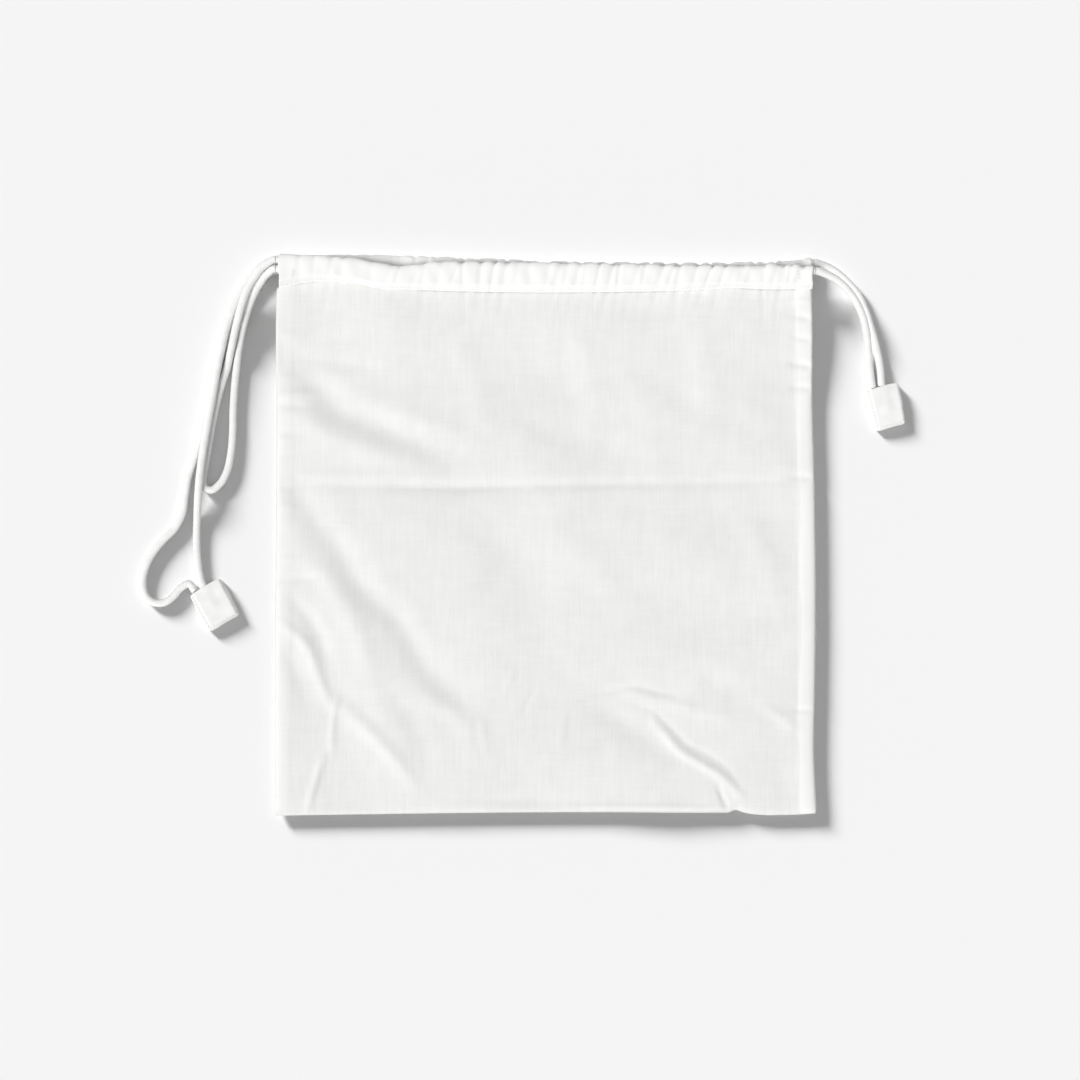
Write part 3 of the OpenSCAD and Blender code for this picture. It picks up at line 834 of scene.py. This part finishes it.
def channel_top(x, y, edge_line, base_z, puckers):
    """Height of a channel's upper face at one place, for its stitches."""
    low, high = follow(HEM_LINE, x), follow(edge_line, x)
    v = np.clip((y - low) / (high - low), 0, 1)
    gather = np.minimum(gathers(x, y - low, puckers), deepest_gather)
    return sleeve_middle(base_z, v) + sleeve_half(v) - gather_depth * gather


def hem_stitches(name, edge_line, base_z, puckers, node):
    """The row of stitches that closes a channel."""
    pitch, dash, lift = 2.7, 1.9, 0.34
    x = np.arange(-channel_x + 1.5, channel_x - 3, pitch)
    places = []
    for x0 in (x, x + dash):
        y0 = follow(HEM_LINE, x0) + 1.0
        places.append(np.stack([x0, y0, channel_top(x0, y0, edge_line, base_z, puckers) + lift], -1))
    return stitches(name, places[0], places[1], "bag", node, radius=0.2)


def slit_stitches(name, side, node):
    """The bar tack that ends the slit in the channel: short threads across its end."""
    half_length, lift = 1.2, 0.28
    starts, ends = [], []
    for i in range(6):
        x0 = side * (162.5 - 0.2 * i)
        y0 = 164.5 + 1.1 * i
        for x_at, row in ((x0 - half_length, starts), (x0 + half_length, ends)):
            z = float(channel_top(np.array([x_at]), np.array([y0]), FRONT_EDGE, front_z, FRONT_PUCKERS)[0])
            row.append((x_at, y0, z + lift))
    return stitches(name, starts, ends, "bag", node, radius=0.18)


front_cloth, back_cloth = add_cloth()
add_allowances()
sleeve("front_channel_cloth", FRONT_EDGE, front_z, FRONT_PUCKERS, "front_channel")
sleeve("back_channel_cloth", BACK_EDGE, back_z, BACK_PUCKERS, "back_channel")
hem_stitches("front_hem_thread", FRONT_EDGE, front_z, FRONT_PUCKERS, "front_hem_stitching")
hem_stitches("back_hem_thread", BACK_EDGE, back_z, BACK_PUCKERS, "back_hem_stitching")
slit_stitches("left_slit_thread", -1, "left_bar_tacks")
slit_stitches("right_slit_thread", 1, "right_bar_tacks")
for node in ("left_seam_stitching", "right_seam_stitching"):
    recolour(node, THREAD)


# ---------------------------------------------------------------- floor, light and background
def add_stage():
    """A pale floor that reaches past every view."""
    material, tree, shader = new_material("pale_floor")
    shader.inputs["Base Color"].default_value = (0.92, 0.92, 0.92, 1)
    surface(shader, 0.95, 0.1)
    reach = 30000
    corners = [(-reach, -reach, 0), (reach, -reach, 0), (reach, reach, 0), (-reach, reach, 0)]
    floor = mesh_piece("floor", corners, [(0, 1, 2, 3)], material)
    return floor


def add_sun(name, energy, softness, direction, floor, on_floor, passes=()):
    """Soft light from a direction, on the floor alone or on all but the floor.

    Softness is its source's angle in degrees. The pieces in passes cast no shadow in this light.
    """
    data = bpy.data.lights.new(name, "SUN")
    data.energy = energy
    data.angle = math.radians(softness)
    lamp = bpy.data.objects.new(name, data)
    away = np.array(direction, float)
    away /= np.linalg.norm(away)
    lamp.location = away
    lamp.rotation_euler = Vector(away).to_track_quat("Z", "Y").to_euler()
    bpy.context.scene.collection.objects.link(lamp)
    lit = bpy.data.collections.new(name + "_lights")
    lit.objects.link(floor)
    lit.collection_objects[0].light_linking.link_state = "INCLUDE" if on_floor else "EXCLUDE"
    lamp.light_linking.receiver_collection = lit
    clear = bpy.data.collections.new(name + "_passes")
    for k, piece in enumerate(passes):
        clear.objects.link(piece)
        clear.collection_objects[k].light_linking.link_state = "EXCLUDE"
    if passes:
        lamp.light_linking.blocker_collection = clear


def add_world(overhead, horizon):
    """Soft white light from all round, brighter towards the horizon than overhead."""
    world = bpy.data.worlds.new("world")
    world.use_nodes = True
    tree = world.node_tree
    direction = add_node(tree, "ShaderNodeSeparateXYZ")
    tree.links.new(add_node(tree, "ShaderNodeTexCoord").outputs["Generated"], direction.inputs[0])
    low = math_node(tree, "SUBTRACT", 1.0, math_node(tree, "MAXIMUM", direction.outputs["Z"], 0.0))
    glow = math_node(tree, "MULTIPLY", math_node(tree, "POWER", low, 3.0), horizon - overhead)
    tree.links.new(math_node(tree, "ADD", glow, overhead), tree.nodes["Background"].inputs["Strength"])
    tree.nodes["Background"].inputs["Color"].default_value = (1, 1, 1, 1)
    bpy.context.scene.world = world


pale_floor = add_stage()
add_sun("floor_key", 6.0, 14, (-1, 1, 0.5), pale_floor, True)
add_sun("bag_key", 2.52, 30, (-1, -0.6, 1.85), pale_floor, False, passes=[inner])
add_world(0.3, 0.86)
bpy.context.scene.view_settings.view_transform = "Standard"
